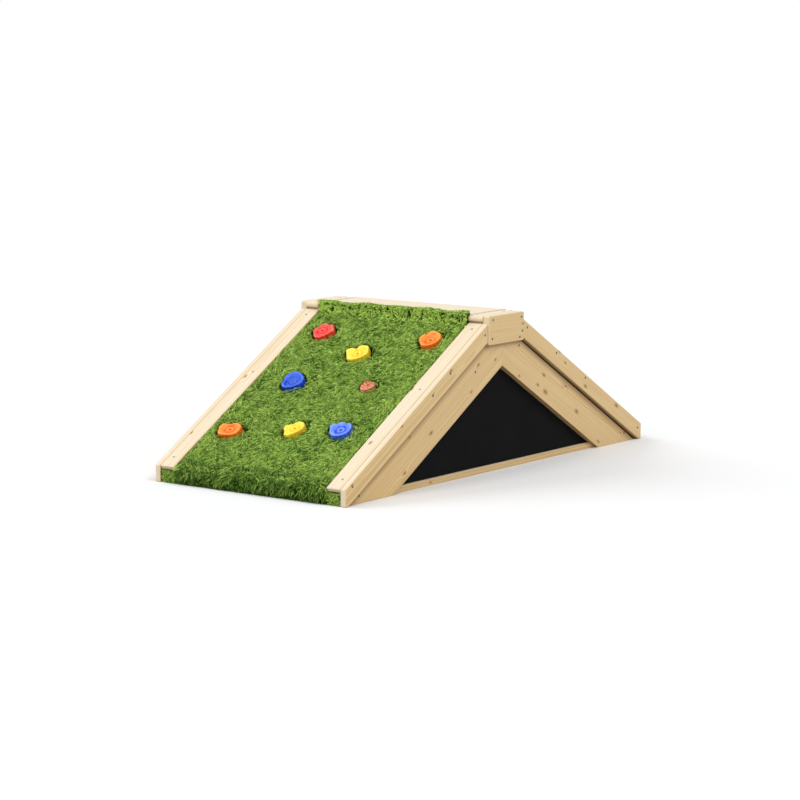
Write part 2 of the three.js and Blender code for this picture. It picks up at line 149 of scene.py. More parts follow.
def lamp(name, aim, spread, strength):
    """A distant lamp that lights the whole floor alike; aim is the way its light travels."""
    light = bpy.data.objects.new(name, bpy.data.lights.new(name, "SUN"))
    light.data.energy = strength
    light.data.angle = math.radians(spread)
    light.rotation_euler = Vector(aim).to_track_quat("-Z", "Y").to_euler()
    bpy.context.scene.collection.objects.link(light)


lamp("front_lamp", (0.95, -0.05, -0.70), 30, 0.75)
lamp("left_lamp", (0.35, -0.90, -0.80), 40, 1.0)
lamp("right_lamp", (0.10, 0.80, -1.0), 26, 1.05)


# Rails: four planed spruce boards 24 mm thick, one down each side of each ramp. They have a
# pale clear finish, fine growth lines along the board and a few small brown knots. Each is
# screwed from outside through the layers of the ramp.
def tint(red, green, blue):
    """A colour as it is seen, from 0 to 255, as linear light."""
    shares = [c / 255 for c in (red, green, blue)]
    return [c / 12.92 if c <= 0.04045 else ((c + 0.055) / 1.055) ** 2.4 for c in shares] + [1]


slope = math.radians(30.3)
half_length = 1.0
foot_height = 0.064
rail_outside = 0.45
rail_thickness = 0.024
eased_joint = 0.0016
pale_wood = tint(244, 213, 155)
grain_line = tint(214, 170, 104)
# paler copies of the wood and its lines for tops and front faces, as painted light
painted_lit_wood = tint(241, 227, 200)
painted_lit_grain = tint(222, 192, 146)
toned_wood = (0.25, 0.12, 0.04, 1)
# brown for the dark joints, for painted shade on undersides and for painted shadows on the rafters
joint_and_shadow_brown = tint(136, 90, 40)
# a knot's ring and its heart: how far each reaches, in radii, how sharply it ends, its colour
knot_parts = ((1.7, 0.8, tint(186, 140, 78)), (0.6, 1.8, tint(84, 58, 30)))
# a knot is twice as long along the grain, and pushes the growth lines aside, in radii
knot_squeeze = 0.5
knot_push, knot_push_reach = 1.1, 2.6
# the log's yearly rings, how thin their brown lines are, and how far these stray
ring_spacing = 0.0072
late_wood_thinness = 2.6
line_wander, line_ripple = 0.014, 0.0016
next_board = 0.713

ramps = ((True, "front"), (False, "back"))
flanks = ((0, "left", 1), (1, "right", -1))
up_ramp, out_of_ramp, foot = {}, {}, {}
for front, towards in ((True, -1), (False, 1)):
    up_ramp[front] = Vector((-towards * math.cos(slope), 0, math.sin(slope)))
    out_of_ramp[front] = Vector((towards * math.sin(slope), 0, math.cos(slope)))
    foot[front] = Vector((towards * half_length, 0, foot_height))


def place_on(tree):
    """Where each point of a surface lies."""
    return tree.nodes.new("ShaderNodeTexCoord").outputs["Object"]


def facing(tree):
    """Which way a surface faces, as the sockets X, Y and Z."""
    parts = tree.nodes.new("ShaderNodeSeparateXYZ")
    tree.links.new(tree.nodes.new("ShaderNodeNewGeometry").outputs["True Normal"], parts.inputs[0])
    return parts.outputs


def vector_sum(tree, operation, place, by):
    """A sum on a place and a fixed vector; gives its node."""
    made = tree.nodes.new("ShaderNodeVectorMath")
    made.operation = operation
    made.inputs[1].default_value = by
    tree.links.new(place, made.inputs[0])
    return made


def speckle(tree, place, stretch, fineness, layers, roughness=0.5):
    """A cloudy pattern from 0 to 1. It is longer along the ways in which stretch is small."""
    noise = tree.nodes.new("ShaderNodeTexNoise")
    noise.inputs["Scale"].default_value = fineness
    noise.inputs["Detail"].default_value = layers
    noise.inputs["Roughness"].default_value = roughness
    tree.links.new(vector_sum(tree, "MULTIPLY", place, stretch).outputs[0], noise.inputs["Vector"])
    return noise.outputs["Fac"]


def raise_pattern(tree, height, strength, depth):
    """Lets a pattern stand out from the surface."""
    bump = tree.nodes.new("ShaderNodeBump")
    bump.inputs["Strength"].default_value = strength
    bump.inputs["Distance"].default_value = depth
    tree.links.new(height, bump.inputs["Height"])
    tree.links.new(bump.outputs["Normal"], tree.nodes["Principled BSDF"].inputs["Normal"])


def squares(tree, first, second):
    """The sum of two squares."""
    return reckon(tree, "ADD", reckon(tree, "MULTIPLY", first, first),
                  reckon(tree, "MULTIPLY", second, second))


def spruce(name, origin, along, face, pith, knots=(), tone=1.0, seed=0, joints_and_shadows=()):
    """Planed spruce for one board. The grain runs along one direction from a point on the
    board's face. The rings of the log lie round a line behind that face, a given distance
    across and in. Knots are (distance along, distance across, radius) on the face. Joints and
    painted shadows are dark brown bands: (direction, distance that way from the point, half
    width, strength). Tops and front faces are painted paler, as painted light, and undersides
    painted brown, as painted shade."""
    material, tree = new_finish(name)
    along = Vector(along).normalized()
    face = Vector(face).normalized()
    from_origin = vector_sum(tree, "SUBTRACT", place_on(tree), origin).outputs[0]

    def measure(direction):
        return vector_sum(tree, "DOT_PRODUCT", from_origin, direction).outputs["Value"]

    run, cross, depth = measure(along), measure(face.cross(along)), measure(-face)
    board = tree.nodes.new("ShaderNodeCombineXYZ")
    for value, socket in zip((run, cross, depth), board.inputs):
        tree.links.new(reckon(tree, "ADD", value, seed * next_board), socket)
    wood = board.outputs[0]

    # the growth lines wander and ripple, and go round each knot
    wander = speckle(tree, wood, (0.9, 5, 5), 2.2, 2)
    ripple = speckle(tree, wood, (3, 24, 24), 2.0, 2)
    bend = reckon(tree, "MULTIPLY_ADD", wander, line_wander, -line_wander / 2)
    bend = reckon(tree, "MULTIPLY_ADD", ripple, line_ripple, bend)
    knot_shares = [0 for _ in knot_parts]
    for knot_run, knot_cross, radius in knots:
        gap_run = reckon(tree, "MULTIPLY", reckon(tree, "SUBTRACT", run, knot_run), knot_squeeze)
        gap_cross = reckon(tree, "SUBTRACT", cross, knot_cross)
        square = squares(tree, gap_run, gap_cross)
        push = reckon(tree, "MULTIPLY", square, -1 / (knot_push_reach * radius) ** 2)
        push = reckon(tree, "EXPONENT", push)
        bend = reckon(tree, "MULTIPLY_ADD", push, knot_push * radius, bend)
        radii = reckon(tree, "DIVIDE", reckon(tree, "SQRT", square), radius)
        for part, (reach, strength, _) in enumerate(knot_parts):
            share = reckon(tree, "MULTIPLY", reckon(tree, "SUBTRACT", reach, radii), strength,
                           held=True)
            knot_shares[part] = reckon(tree, "MAXIMUM", knot_shares[part], share)

    # each year ends in a brown line, crossed by fine fibres
    from_pith = reckon(tree, "SUBTRACT", cross, pith[0])
    behind = reckon(tree, "SUBTRACT", depth, pith[1])
    log_radius = reckon(tree, "SQRT", squares(tree, from_pith, behind))
    years = reckon(tree, "DIVIDE", reckon(tree, "ADD", log_radius, bend), ring_spacing)
    late_wood = reckon(tree, "POWER", reckon(tree, "FRACT", years), late_wood_thinness)
    fibre = speckle(tree, wood, (2.5, 150, 150), 1.0, 4, 0.65)
    cloud = speckle(tree, wood, (1.2, 9, 9), 1.6, 3)
    line = reckon(tree, "MULTIPLY_ADD", cloud, 0.95, 0.08)
    streak = reckon(tree, "MULTIPLY_ADD", fibre, 1.1, -0.42)
    grain = reckon(tree, "MULTIPLY_ADD", late_wood, line, streak, held=True)

    # painted light and shade: tops and front faces are painted paler, as if lit, and undersides
    # painted brown, as painted shade
    ways = facing(tree)
    painted_light = reckon(tree, "MAXIMUM", ways["Z"], reckon(tree, "MULTIPLY", ways["X"], -1))
    painted_light = reckon(tree, "MULTIPLY_ADD", painted_light, 2.2, -0.9, held=True)
    plain = blend_colours(tree, painted_light, pale_wood, painted_lit_wood)
    lined = blend_colours(tree, painted_light, grain_line, painted_lit_grain)
    colour = blend_colours(tree, grain, plain, lined)
    colour = blend_colours(tree, 1 - tone, colour, toned_wood)
    # painted shade: faces that look down are painted brown
    below = reckon(tree, "MULTIPLY_ADD", ways["Z"], -0.8, -0.15, held=True)
    colour = blend_colours(tree, below, colour, joint_and_shadow_brown)
    # dark joints, and painted shadows of the rails and cheek plates on the rafters
    for direction, place, half_width, strength in joints_and_shadows:
        gap = reckon(tree, "ABSOLUTE", reckon(tree, "SUBTRACT", measure(direction), place))
        band = reckon(tree, "SUBTRACT", 1, reckon(tree, "DIVIDE", gap, half_width), held=True)
        colour = blend_colours(tree, reckon(tree, "MULTIPLY", band, strength), colour, joint_and_shadow_brown)
    if knots:
        for share, (_, _, shade) in zip(knot_shares, knot_parts):
            colour = blend_colours(tree, share, colour, shade)
    coat(tree, colour, roughness=0.45)
    raise_pattern(tree, reckon(tree, "ADD", late_wood, fibre), 0.25, 0.0006)
    return material


def cover(node, material):
    """Puts one finish all over a piece."""
    nodes[node].data.materials.clear()
    nodes[node].data.materials.append(material)


def finish_board(node, material, eased=0.0009):
    """Finishes a board and rounds its eased edges a little more."""
    cover(node, material)
    rounding = nodes[node].modifiers.new("rounding", "BEVEL")
    rounding.width = eased
    rounding.segments = 2
    rounding.limit_method = "ANGLE"
    rounding.angle_limit = math.radians(25)


def knots_on_face(places, front, face, middle):
    """Knots given by (x, z, radius) on an upright face, as (along, across, radius) from the
    middle line of the board."""
    run = up_ramp[front]
    gaps = [(Vector((x, 0, z)) - middle, radius) for x, z, radius in places]
    return [(gap.dot(run), gap.dot(face.cross(run)), radius) for gap, radius in gaps]


rail_knots = {
    ("front", "left"): [(-0.4, 0.39, 0.005)],
    ("front", "right"): [(-0.663, 0.252, 0.004), (-0.963, 0.077, 0.0035), (-0.470, 0.349, 0.003),
                         (-0.358, 0.424, 0.005)],
    ("back", "left"): [(0.5, 0.33, 0.005)],
    ("back", "right"): [(0.379, 0.424, 0.005), (0.420, 0.375, 0.004), (0.570, 0.265, 0.006),
                        (0.805, 0.160, 0.007)],
}
for front, end in ramps:
    for number, side, sign in flanks:
        rail = f"rail_{end}_{side}"
        face = Vector((0, sign, 0))
        knots = knots_on_face(rail_knots[end, side], front, face, foot[front])
        wood = spruce(
            rail, foot[front] + face * rail_outside, up_ramp[front], face,
            (0.04 - 0.08 * number, 0.035), knots, 0.97 + 0.03 * number, 1 + number + 2 * front,
            [(face, -rail_thickness, eased_joint, 0.6)],
        )
        finish_board(rail, wood, eased_joint)

# Cover strips: four spruce strips, 65 mm wide and 18 mm thick, screwed down over the edges of
# the turf and level with the rails.
strip_middle, strip_half_width = 0.3935, 0.0325
strip_edge = 0.361
strip_knots = {
    ("front", "left"): [(0.564, 0.415 - strip_middle, 0.005), (0.202, 0.422 - strip_middle, 0.005)],
    ("front", "right"): [(0.593, strip_middle - 0.364, 0.006),
                         (0.268, strip_middle - 0.385, 0.005)],
}
for front, end in ramps:
    for number, side, sign in flanks:
        strip = f"cover_strip_{end}_{side}"
        face = out_of_ramp[front]
        flip = face.cross(up_ramp[front]).y
        knots = [(run, cross * flip, radius)
                 for run, cross, radius in strip_knots.get((end, side), [])]
        wood = spruce(
            strip, foot[front] + Vector((0, strip_middle * sign, 0)), up_ramp[front], face,
            (0.012 + 0.03 * number, 0.04), knots, 1.0, 11 + number + 2 * front,
            [((0, sign, 0), strip_half_width, eased_joint, 0.6)],
        )
        finish_board(strip, wood, eased_joint)

# Platform: a wide centre plank with a narrow cap board on each side of it. The caps have round
# noses, and a short cheek plate closes each end, over the joint of the rails.
platform_top = 0.607
plank_end = 0.3607
cap_start = 0.361
cap_middle = 0.39
cheek_outside = 0.455
cheek_middle = 0.551
plank_seam, cap_seam = 0.011, 0.008
seam_strength = 0.9
seam_rounding = 0.0028
upwards = Vector((0, 0, 1))
down_bridge, across_bridge = (1, 0, 0), (0, 1, 0)
plank_seams = [
    (across_bridge, sign * plank_end, plank_seam, seam_strength) for sign in (-1, 1)
]
finish_board("platform_plank", spruce(
    "platform_plank", (0, 0, platform_top), across_bridge, upwards, (0.05, 0.06), (), 1.0, 21,
    plank_seams), seam_rounding)
cheek_knots = {"left": [], "right": [(0.113, 0.560 - cheek_middle, 0.0045)]}
for number, side, sign in flanks:
    face = (0, sign, 0)
    finish_board(f"platform_cap_{side}", spruce(
        f"platform_cap_{side}", (0, cap_middle * sign, platform_top), down_bridge, upwards,
        (0.02, 0.05), (), 1.0, 23 + number,
        [(face, cap_start - cap_middle, cap_seam, seam_strength)]), seam_rounding)
    finish_board(f"cheek_plate_{side}", spruce(
        f"cheek_plate_{side}", (0, cheek_outside * sign, cheek_middle), down_bridge, face,
        (0.11, 0.03), cheek_knots[side], 0.98, 25 + number))

# Gable frames: wide face rafters mitred under the cheek plates, joists behind them, and a base
# rail between their feet. The rafters' upper edges are painted brown, as painted shadows of the
# rails and cheek plates.
rafter_outside = 0.436
rafter_middle = 0.142
# painted shadows on the rafters: of the rails, at that depth under the rails' tops, and of the
# cheek plates' bottom edge, at that height; each with its half width
rail_painted_shadow, rail_painted_shadow_half = 0.0765, 0.024
cheek_painted_shadow, cheek_painted_shadow_half = 0.493, 0.012
base_outside, base_height = 0.419, 0.012
rafter_knots = {
    ("front", "left"): [(-0.5, 0.2, 0.006)],
    ("front", "right"): [(-0.047, 0.434, 0.004), (-0.205, 0.327, 0.004), (-0.464, 0.202, 0.006),
                         (-0.627, 0.073, 0.005), (-0.160, 0.425, 0.005), (-0.598, 0.203, 0.005)],
    ("back", "left"): [(0.4, 0.2, 0.006)],
    ("back", "right"): [(0.117, 0.354, 0.004), (0.289, 0.339, 0.006), (0.247, 0.305, 0.005),
                        (0.301, 0.271, 0.008), (0.447, 0.278, 0.005), (0.528, 0.167, 0.007),
                        (0.693, 0.025, 0.005), (0.862, 0.040, 0.004)],
}
for front, end in ramps:
    for number, side, sign in flanks:
        face = Vector((0, sign, 0))
        middle = foot[front] - out_of_ramp[front] * rafter_middle
        origin = middle + face * rafter_outside
        wood = spruce(
            f"rafter_{end}_{side}", origin, up_ramp[front], face, (0.05 - 0.10 * number, 0.040),
            knots_on_face(rafter_knots[end, side], front, face, middle), 0.98,
            31 + number + 2 * front,
            # painted shadows: brown bands under the rails' lower edges and under the cheek plates
            [(-out_of_ramp[front], rail_painted_shadow - rafter_middle, rail_painted_shadow_half, 0.62),
             (upwards, cheek_painted_shadow - origin.z, cheek_painted_shadow_half, 0.8)],
        )
        finish_board(f"rafter_{end}_{side}", wood)
        finish_board(f"joist_{end}_{side}", spruce(
            f"joist_{end}_{side}", origin, up_ramp[front], face, (0.02, 0.06), (), 0.95,
            41 + number + 2 * front))
base_knots = {"left": [], "right": [(-0.443, 0.0, 0.004)]}
for number, side, sign in flanks:
    finish_board(f"base_rail_{side}", spruce(
        f"base_rail_{side}", (0, base_outside * sign, base_height), down_bridge, (0, sign, 0),
        (0.02, 0.03), base_knots[side], 0.87, 51 + number))

# Cross members under the deck: battens between the joists, a beam under the platform, foot
# boards, and wedge-shaped bearers that carry the platform. All are rougher spruce, screwed on.
cross_wood = spruce(
    "cross_wood", (0, 0, 0.3), across_bridge, down_bridge, (0.03, 0.05), (), 0.96, 61)
for node in nodes:
    if node.startswith(("cross_batten", "foot_board", "ridge_beam", "bearer")):
        finish_board(node, cross_wood)

# Deck panels: two sheets of 12 mm plywood, screwed down on the joists and battens. They carry
# the turf and the holds, and can only be seen from below.
ply, ply_tree = new_finish("plywood")
ply_grain = speckle(ply_tree, place_on(ply_tree), (3, 60, 3), 1.0, 4, 0.6)
coat(ply_tree, blend_colours(ply_tree, ply_grain, tint(214, 178, 124), tint(176, 132, 80)), 0.75)
for end in ("front", "back"):
    cover(f"deck_panel_{end}", ply)

# Blackboards: a triangular panel 8 mm thick in each gable, set in behind the rafters, with
# matt black chalkboard paint.
evenly_spread = (1, 1, 1)
slate, slate_tree = new_finish("chalkboard_paint")
slate_place = place_on(slate_tree)
slate_cloud = speckle(slate_tree, slate_place, evenly_spread, 7, 4, 0.6)
coat(slate_tree, blend_colours(slate_tree, slate_cloud, tint(20, 20, 21), tint(29, 29, 30)),
     roughness=0.9, gloss=0.05)
raise_pattern(slate_tree, speckle(slate_tree, slate_place, evenly_spread, 900, 2), 0.15, 0.0004)
for side in ("left", "right"):
    cover(f"blackboard_{side}", slate)

# Turf: an artificial lawn with a green pile 38 mm deep on a thin woven backing. It is glued over
# each deck and its sides, pressed flat under the cover strips, and bent down to the floor at the
# foot. At the top it is turned up against the plank in front, and tucked under it at the back.
# the backing: depths are under the rails' tops, and distances out are from the middle
backing_thickness = 0.003
backing_depth = 0.0375
fold_depth = 0.070
fold_gap = 0.0009
deck_half_width = 0.4218
turned_up_at, turned_up_to = 0.1138, 0.6145
tucked_in_at = 0.1135
nose_at = 0.9607
nose_foot = 0.001
# the pile: how tall it stands, what it stops at, and how thick and unruly it grows
pile_height = 0.038
nose_pile_height = 0.0365
pile_half_width = strip_edge - 0.002
wall_pile_half_width = strip_edge - 0.003
pile_foot = 0.006
nose_end_at, nose_end_edge, nose_end_height = 0.424, 0.4235, 0.036
strip_underside, strip_top_end = 0.0188, 0.14
plank_underside = 0.579
fringe_top = 0.616
open_sky = 1.0
tuft_step = 0.008
blades_in_tuft = 6
most_blades = 12000
pile_seeds = {"front": 71, "back": 72}
brushed_way = -1.25
unruly_share = 0.25
tuft_tilt, blade_curl = 0.26, 1.12
lawn_tone = 0.70
blade_width = (0.0028, 0.0046)
blade_stagger = 0.0008
# a blade in three parts: each one's share of its length, and how much of the curl it has taken
blade_spans = [(0.50, 0.12), (0.27, 0.62), (0.23, 1.0)]
blade_taper = (0.85, 1.0, 0.72)
blade_rib = 0.55
blade_heights = [0, 0, 0, 0.42, 0.42, 0.42, 0.76, 0.76, 0.76, 1]
blade_points = len(blade_heights)
# where a tuft stands
on_deck, on_nose, at_nose_end, against_plank, under_plank = range(5)
slope_cos, slope_sin = math.cos(slope), math.sin(slope)


def level_at(out, depth):
    """Height of a line at a depth under the rails' tops, that far out from the middle."""
    return foot_height + (half_length - out) * math.tan(slope) - depth / slope_cos


def on_backing(out, higher=0.0):
    """A point of the deck's backing, as (distance out, height)."""
    return out, level_at(out, backing_depth) + higher


def evenly(start, end, step):
    """Points along a straight line, about one step apart."""
    start, end = np.array(start, float), np.array(end, float)
    count = max(2, int(np.linalg.norm(end - start) / step) + 1)
    return start + (end - start) * np.linspace(0, 1, count)[:, None]


def turf_line(front):
    """The backing's line down the ramp, in parts, each with the way in which its pile stands."""
    top = turned_up_at if front else tucked_in_at
    parts = [(evenly(on_backing(top), on_backing(nose_at), 0.012), (slope_sin, slope_cos)),
             (evenly(on_backing(nose_at), (nose_at, nose_foot), 0.006), (1, 0))]
    if front:
        wall = evenly((turned_up_at, turned_up_to), on_backing(turned_up_at), 0.008)
        parts.insert(0, (wall, (1, 0)))
    return parts


def close_up(mesh):
    """Drops a mesh's loose points and turns its faces outwards."""
    work = bmesh.new()
    work.from_mesh(mesh)
    loose = [v for v in work.verts if not v.link_faces]
    bmesh.ops.delete(work, geom=loose, context="VERTS")
    bmesh.ops.recalc_face_normals(work, faces=work.faces)
    work.to_mesh(mesh)
    work.free()


def closed_cloth(name, grid, inward, keep):
    """A grid of points as a closed cloth, with its thickness on the inner side."""
    rows, columns = grid.shape[:2]
    count = rows * columns
    outer = grid.reshape(-1, 3)
    inner = outer + inward.reshape(-1, 3) * backing_thickness
    quads = [
        (r * columns + c, r * columns + c + 1, (r + 1) * columns + c + 1, (r + 1) * columns + c)
        for r in range(rows - 1) for c in range(columns - 1) if keep(r, c)
    ]
    edges = dict.fromkeys((a, b) for quad in quads for a, b in zip(quad, quad[1:] + quad[:1]))
    faces = quads + [tuple(i + count for i in reversed(quad)) for quad in quads]
    faces += [(b, a, a + count, b + count) for a, b in edges if (b, a) not in edges]
    mesh = bpy.data.meshes.new(name)
    mesh.from_pydata(np.vstack([outer, inner]).tolist(), [], faces)
    close_up(mesh)
    return set_down(name, mesh)


def backing_grid(front):
    """Rows down the ramp and columns across it from fold to fold, the way into the cloth at each
    point, and which squares of the grid are cloth."""
    parts = turf_line(front)
    points = np.vstack([line if i == 0 else line[1:] for i, (line, _) in enumerate(parts)])
    ways = np.vstack([
        np.tile(way, (len(line) - (i > 0), 1)) for i, (line, way) in enumerate(parts)
    ])
    field = np.linspace(-deck_half_width, deck_half_width, 72)
    drops = np.linspace(0, fold_depth - backing_depth, 5)[1:]
    folded = len(drops)
    rows, columns = len(points), len(field) + 2 * folded
    grid = np.zeros((rows, columns, 3))
    outward = np.zeros((rows, columns, 3))
    for r, ((out, height), (lean_out, lean_up)) in enumerate(zip(points, ways)):
        for c in range(columns):
            side = -1 if c < folded else 1 if c >= columns - folded else 0
            if side:
                drop = drops[folded - 1 - c] if side < 0 else drops[c - columns + folded]
                y = side * (deck_half_width + fold_gap)
                grid[r, c] = (out - slope_sin * drop, y, height - slope_cos * drop)
                outward[r, c] = (0, side, 0)
            else:
                grid[r, c] = (out, field[c - folded], height)
                outward[r, c] = (lean_out, 0, lean_up)
    wall_rows = len(parts[0][0]) if front else 0
    nose_rows = len(parts[-1][0])
    wall_half_width = strip_edge - 0.006

    def keep(r, c):
        at_wall, at_nose = r < wall_rows, r >= rows - nose_rows
        if c < folded or c >= columns - 1 - folded:
            return not (at_wall or at_nose)
        return not (at_wall and abs(field[min(len(field) - 1, c - folded)]) > wall_half_width)

    if front:
        grid[..., 0] *= -1
        outward[..., 0] *= -1
    return grid, -outward, keep


def grass_blades(name, roots, upright, lean, tilt, curl, length, width, shades, ceiling):
    """Separate closed blades with a raised rib: each starts at its root, leans and curls over.
    No point goes under the floor, into a cover strip or over its blade's ceiling."""
    count = len(roots)
    across = np.cross(upright, lean)
    place, corners = roots, []
    for (span, bend), share in zip(blade_spans, blade_taper):
        angle = (tilt + curl * bend)[:, None]
        direction = np.cos(angle) * upright + np.sin(angle) * lean
        rib = np.cross(direction, across)
        half_width = (width * share / 2)[:, None]
        corners += [place - across * half_width, place + across * half_width,
                    place + rib * half_width * blade_rib]
        place = place + direction * (length * span)[:, None]
    corners = np.stack(corners + [place], axis=1).reshape(-1, 3)

    # points that are held down are staggered a little, so that no face is squashed flat
    stagger = blade_stagger * np.tile(np.arange(blade_points) % 3, count)
    out, left = np.abs(corners[:, 0]), np.abs(corners[:, 1])
    corners[:, 2] = np.where(corners[:, 2] < nose_foot, nose_foot + stagger, corners[:, 2])
    ceiling = np.repeat(ceiling, blade_points)
    under_strip = (left > strip_edge - 0.0005) & (out > strip_top_end)
    strip_level = level_at(out, strip_underside) - stagger * 0.5
    top = ceiling - stagger
    top = np.where(under_strip, np.minimum(top, strip_level), top)
    by_strip = left > strip_edge - 0.03
    lawn_top = level_at(out, np.where(by_strip, 0.0012, -0.004)) - stagger
    top = np.where(ceiling == open_sky, np.minimum(top, lawn_top), top)
    corners[:, 2] = np.where(corners[:, 2] > top, top, corners[:, 2])

    faces = []
    for ring in (0, 3):
        for a, b in ((0, 1), (1, 2), (2, 0)):
            faces += [(ring + a, ring + b, ring + 3 + b), (ring + a, ring + 3 + b, ring + 3 + a)]
    faces += [(6, 7, 9), (7, 8, 9), (8, 6, 9), (0, 2, 1)]
    triangles = np.array(faces)[None] + (np.arange(count) * blade_points)[:, None, None]
    triangles = triangles.reshape(-1, 3)
    mesh = bpy.data.meshes.new(name)
    mesh.vertices.add(len(corners))
    mesh.vertices.foreach_set("co", corners.astype(np.float32).ravel())
    mesh.loops.add(triangles.size)
    mesh.loops.foreach_set("vertex_index", triangles.astype(np.int32).ravel())
    mesh.polygons.add(len(triangles))
    mesh.polygons.foreach_set("loop_start", np.arange(0, triangles.size, 3, dtype=np.int32))
    mesh.polygons.foreach_set("loop_total", np.full(len(triangles), 3, dtype=np.int32))
    # each point's marks: its tone, its height up the blade scaled by the blade's share out of
    # painted shade, and its hue
    tone, hue, painted_light_share = (np.repeat(part, blade_points) for part in shades.T)
    rise = np.tile(blade_heights, count) * painted_light_share
    marks = np.stack([tone, rise, hue, np.ones(len(tone))], axis=1)
    colours = mesh.color_attributes.new("blade", "FLOAT_COLOR", "POINT")
    colours.data.foreach_set("color", marks.astype(np.float32).ravel())
    mesh.update(calc_edges=True)
    return set_down(name, mesh)


def waves(x, y, seed):
    """A smooth random field from nine crossed waves, about -1 to 1."""
    chance = np.random.default_rng(seed)
    total = np.zeros_like(x)
    for _ in range(9):
        turn = chance.uniform(0, 2 * np.pi)
        pace, start = chance.uniform(12, 60), chance.uniform(0, 7)
        total += np.sin((x * np.cos(turn) + y * np.sin(turn)) * pace + start)
    return total / 3.6


# Where each moulded hold sits on the front ramp: distance up the slope and to the left, and its
# rim as (degrees round the bolt, mm from it). The pile is left out under the holds.
hold_places = {
    "red_flower": (0.8833, 0.252), "yellow_bean": (0.7653, 0.002),
    "orange_block": (0.8833, -0.269), "blue_dish": (0.5606, 0.176),
    "coral_shell": (0.5856, -0.166), "orange_wave": (0.243, 0.260),
    "yellow_heart": (0.293, -0.017), "blue_crown": (0.314, -0.220),
}
hold_rims = {
    "red_flower": [(8, 54), (38, 47), (60, 50), (75, 38), (92, 44), (112, 51), (133, 43), (150, 35),
                   (166, 42), (182, 43), (222, 38), (258, 46), (285, 48), (318, 43), (344, 45)],
    "yellow_bean": [(15, 45), (40, 45), (60, 52), (78, 54), (110, 51), (128, 38), (150, 56),
                    (168, 63), (187, 51), (208, 45), (236, 47), (263, 43), (310, 35), (350, 40)],
    "orange_block": [(3, 36), (28, 42), (58, 47), (88, 54), (112, 62), (128, 60), (140, 50),
                     (152, 60), (172, 57), (205, 44), (238, 42), (265, 38), (318, 34)],
    "blue_dish": [(0, 46), (30, 46), (60, 46), (90, 54), (118, 64), (140, 59), (160, 54), (185, 44),
                  (212, 47), (240, 48), (270, 43), (310, 40), (345, 46)],
    "coral_shell": [(0, 29), (45, 26), (80, 24), (112, 23), (126, 30), (136, 42), (147, 32),
                    (165, 30), (195, 31), (235, 34), (270, 32), (315, 28)],
    "orange_wave": [(0, 45), (30, 46), (60, 44), (90, 42), (115, 36), (135, 43), (152, 60),
                    (168, 61), (185, 53), (215, 50), (245, 40), (275, 33), (310, 39), (335, 45)],
    "yellow_heart": [(0, 33), (30, 38), (60, 42), (90, 42), (115, 38), (135, 34), (152, 39),
                     (172, 50), (192, 48), (212, 41), (240, 48), (262, 47), (290, 34), (325, 28)],
    "blue_crown": [(0, 39), (30, 43), (60, 46), (75, 45), (90, 40), (105, 45), (122, 51), (138, 49),
                   (152, 62), (167, 61), (185, 50), (215, 45), (250, 42), (290, 36), (330, 39)],
}


def rim_line(name, sides):
    """The closed smooth line through a hold's rim points, as (up the slope, to the left)."""
    corners = np.array([
        (r * math.sin(math.radians(a)), -r * math.cos(math.radians(a))) for a, r in hold_rims[name]
    ]) / 1000
    # the spacing goes by the root of each span, so that tight corners stay smooth
    spans = np.linalg.norm(np.roll(corners, -1, axis=0) - corners, axis=1)
    spans = np.maximum(spans, 1e-6) ** 0.5
    count = len(corners)
    line = []
    for step in np.arange(sides) * count / sides:
        i, share = int(step), step - int(step)
        before, start, end, after = (corners[(i + k) % count] for k in (-1, 0, 1, 2))
        d1, d2, d3 = (spans[(i + k) % count] for k in (-1, 0, 1))
        leave = ((start - before) / d1 - (end - before) / (d1 + d2) + (end - start) / d2) * d2
        arrive = ((end - start) / d2 - (after - start) / (d2 + d3) + (after - end) / d3) * d2
        line.append(
            (2 * share ** 3 - 3 * share ** 2 + 1) * start
            + (share ** 3 - 2 * share ** 2 + share) * leave
            + (3 * share ** 2 - 2 * share ** 3) * end + (share ** 3 - share ** 2) * arrive
        )
    return np.array(line)


def under_a_hold(front, up, left, margin, below=0.0):
    """Which points of the ramp lie within a hold's rim and a margin round it, which is wider
    below the hold, and which way is out of it."""
    hit = np.zeros(len(up), bool)
    away = np.zeros((len(up), 2))
    for name, (place_up, place_left) in hold_places.items() if front else ():
        line = rim_line(name, 72)
        gap = np.stack([up - place_up, left - place_left], axis=1)
        near = np.hypot(*gap.T)
        turn = np.arctan2(gap[:, 1], gap[:, 0])
        rim_turn = np.arctan2(line[:, 1], line[:, 0])
        order = np.argsort(rim_turn)
        reach = np.interp(turn, rim_turn[order], np.hypot(*line[order].T), period=2 * np.pi)
        inside = near < reach + margin + below * np.clip(-np.cos(turn) * 1.5, 0, 1)
        hit |= inside
        away[inside] = gap[inside] / np.maximum(near[inside], 1e-6)[:, None]
    return hit, away


def up_the_slope(place):
    """How far up the slope from the rails' foot each (distance out, height) lies."""
    return (half_length - place[:, 0]) * slope_cos + (place[:, 1] - foot_height) * slope_sin


def rows_by_columns(rows, columns):
    """The row and the column of every tuft, row by row."""
    grid = np.meshgrid(np.arange(rows), np.arange(columns), indexing="ij")
    return [part.ravel() for part in grid]


